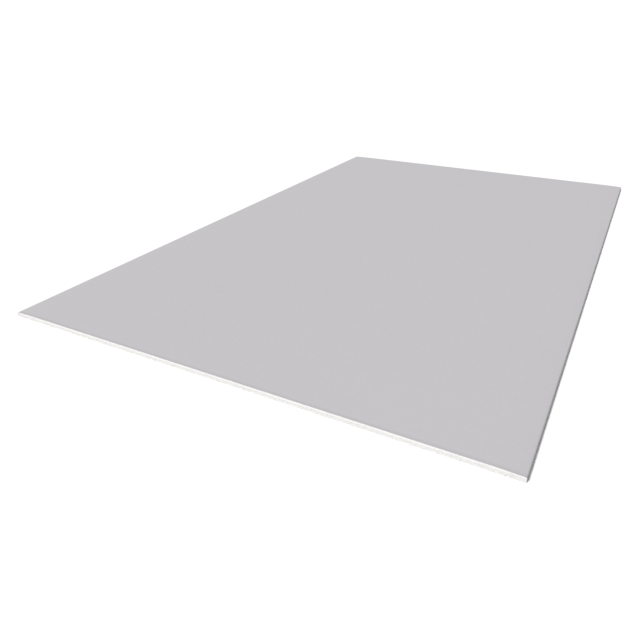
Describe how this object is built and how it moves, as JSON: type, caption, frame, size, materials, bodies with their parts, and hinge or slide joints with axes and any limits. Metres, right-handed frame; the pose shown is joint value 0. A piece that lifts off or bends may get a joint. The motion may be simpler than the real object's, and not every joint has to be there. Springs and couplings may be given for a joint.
{
  "type": "drywall sheet",
  "caption": "Flat sheet of gypsum wallboard with tapered, paper-wrapped long edges and square-cut ends.",
  "frame": {"origin": "middle of the sheet's underside, on the floor it lies on", "axes": "+X across the width, +Y along the length, +Z out of the face, which is up"},
  "size_m": [1.25, 2, 0.0125],
  "materials": {
    "gypsum": "matte",
    "face_paper": "matte",
    "back_paper": "matte"
  },
  "bodies": {
    "root": {"gypsum_core": "gypsum", "face_paper": "face_paper", "back_paper": "back_paper"}
  },
  "joints": []
}
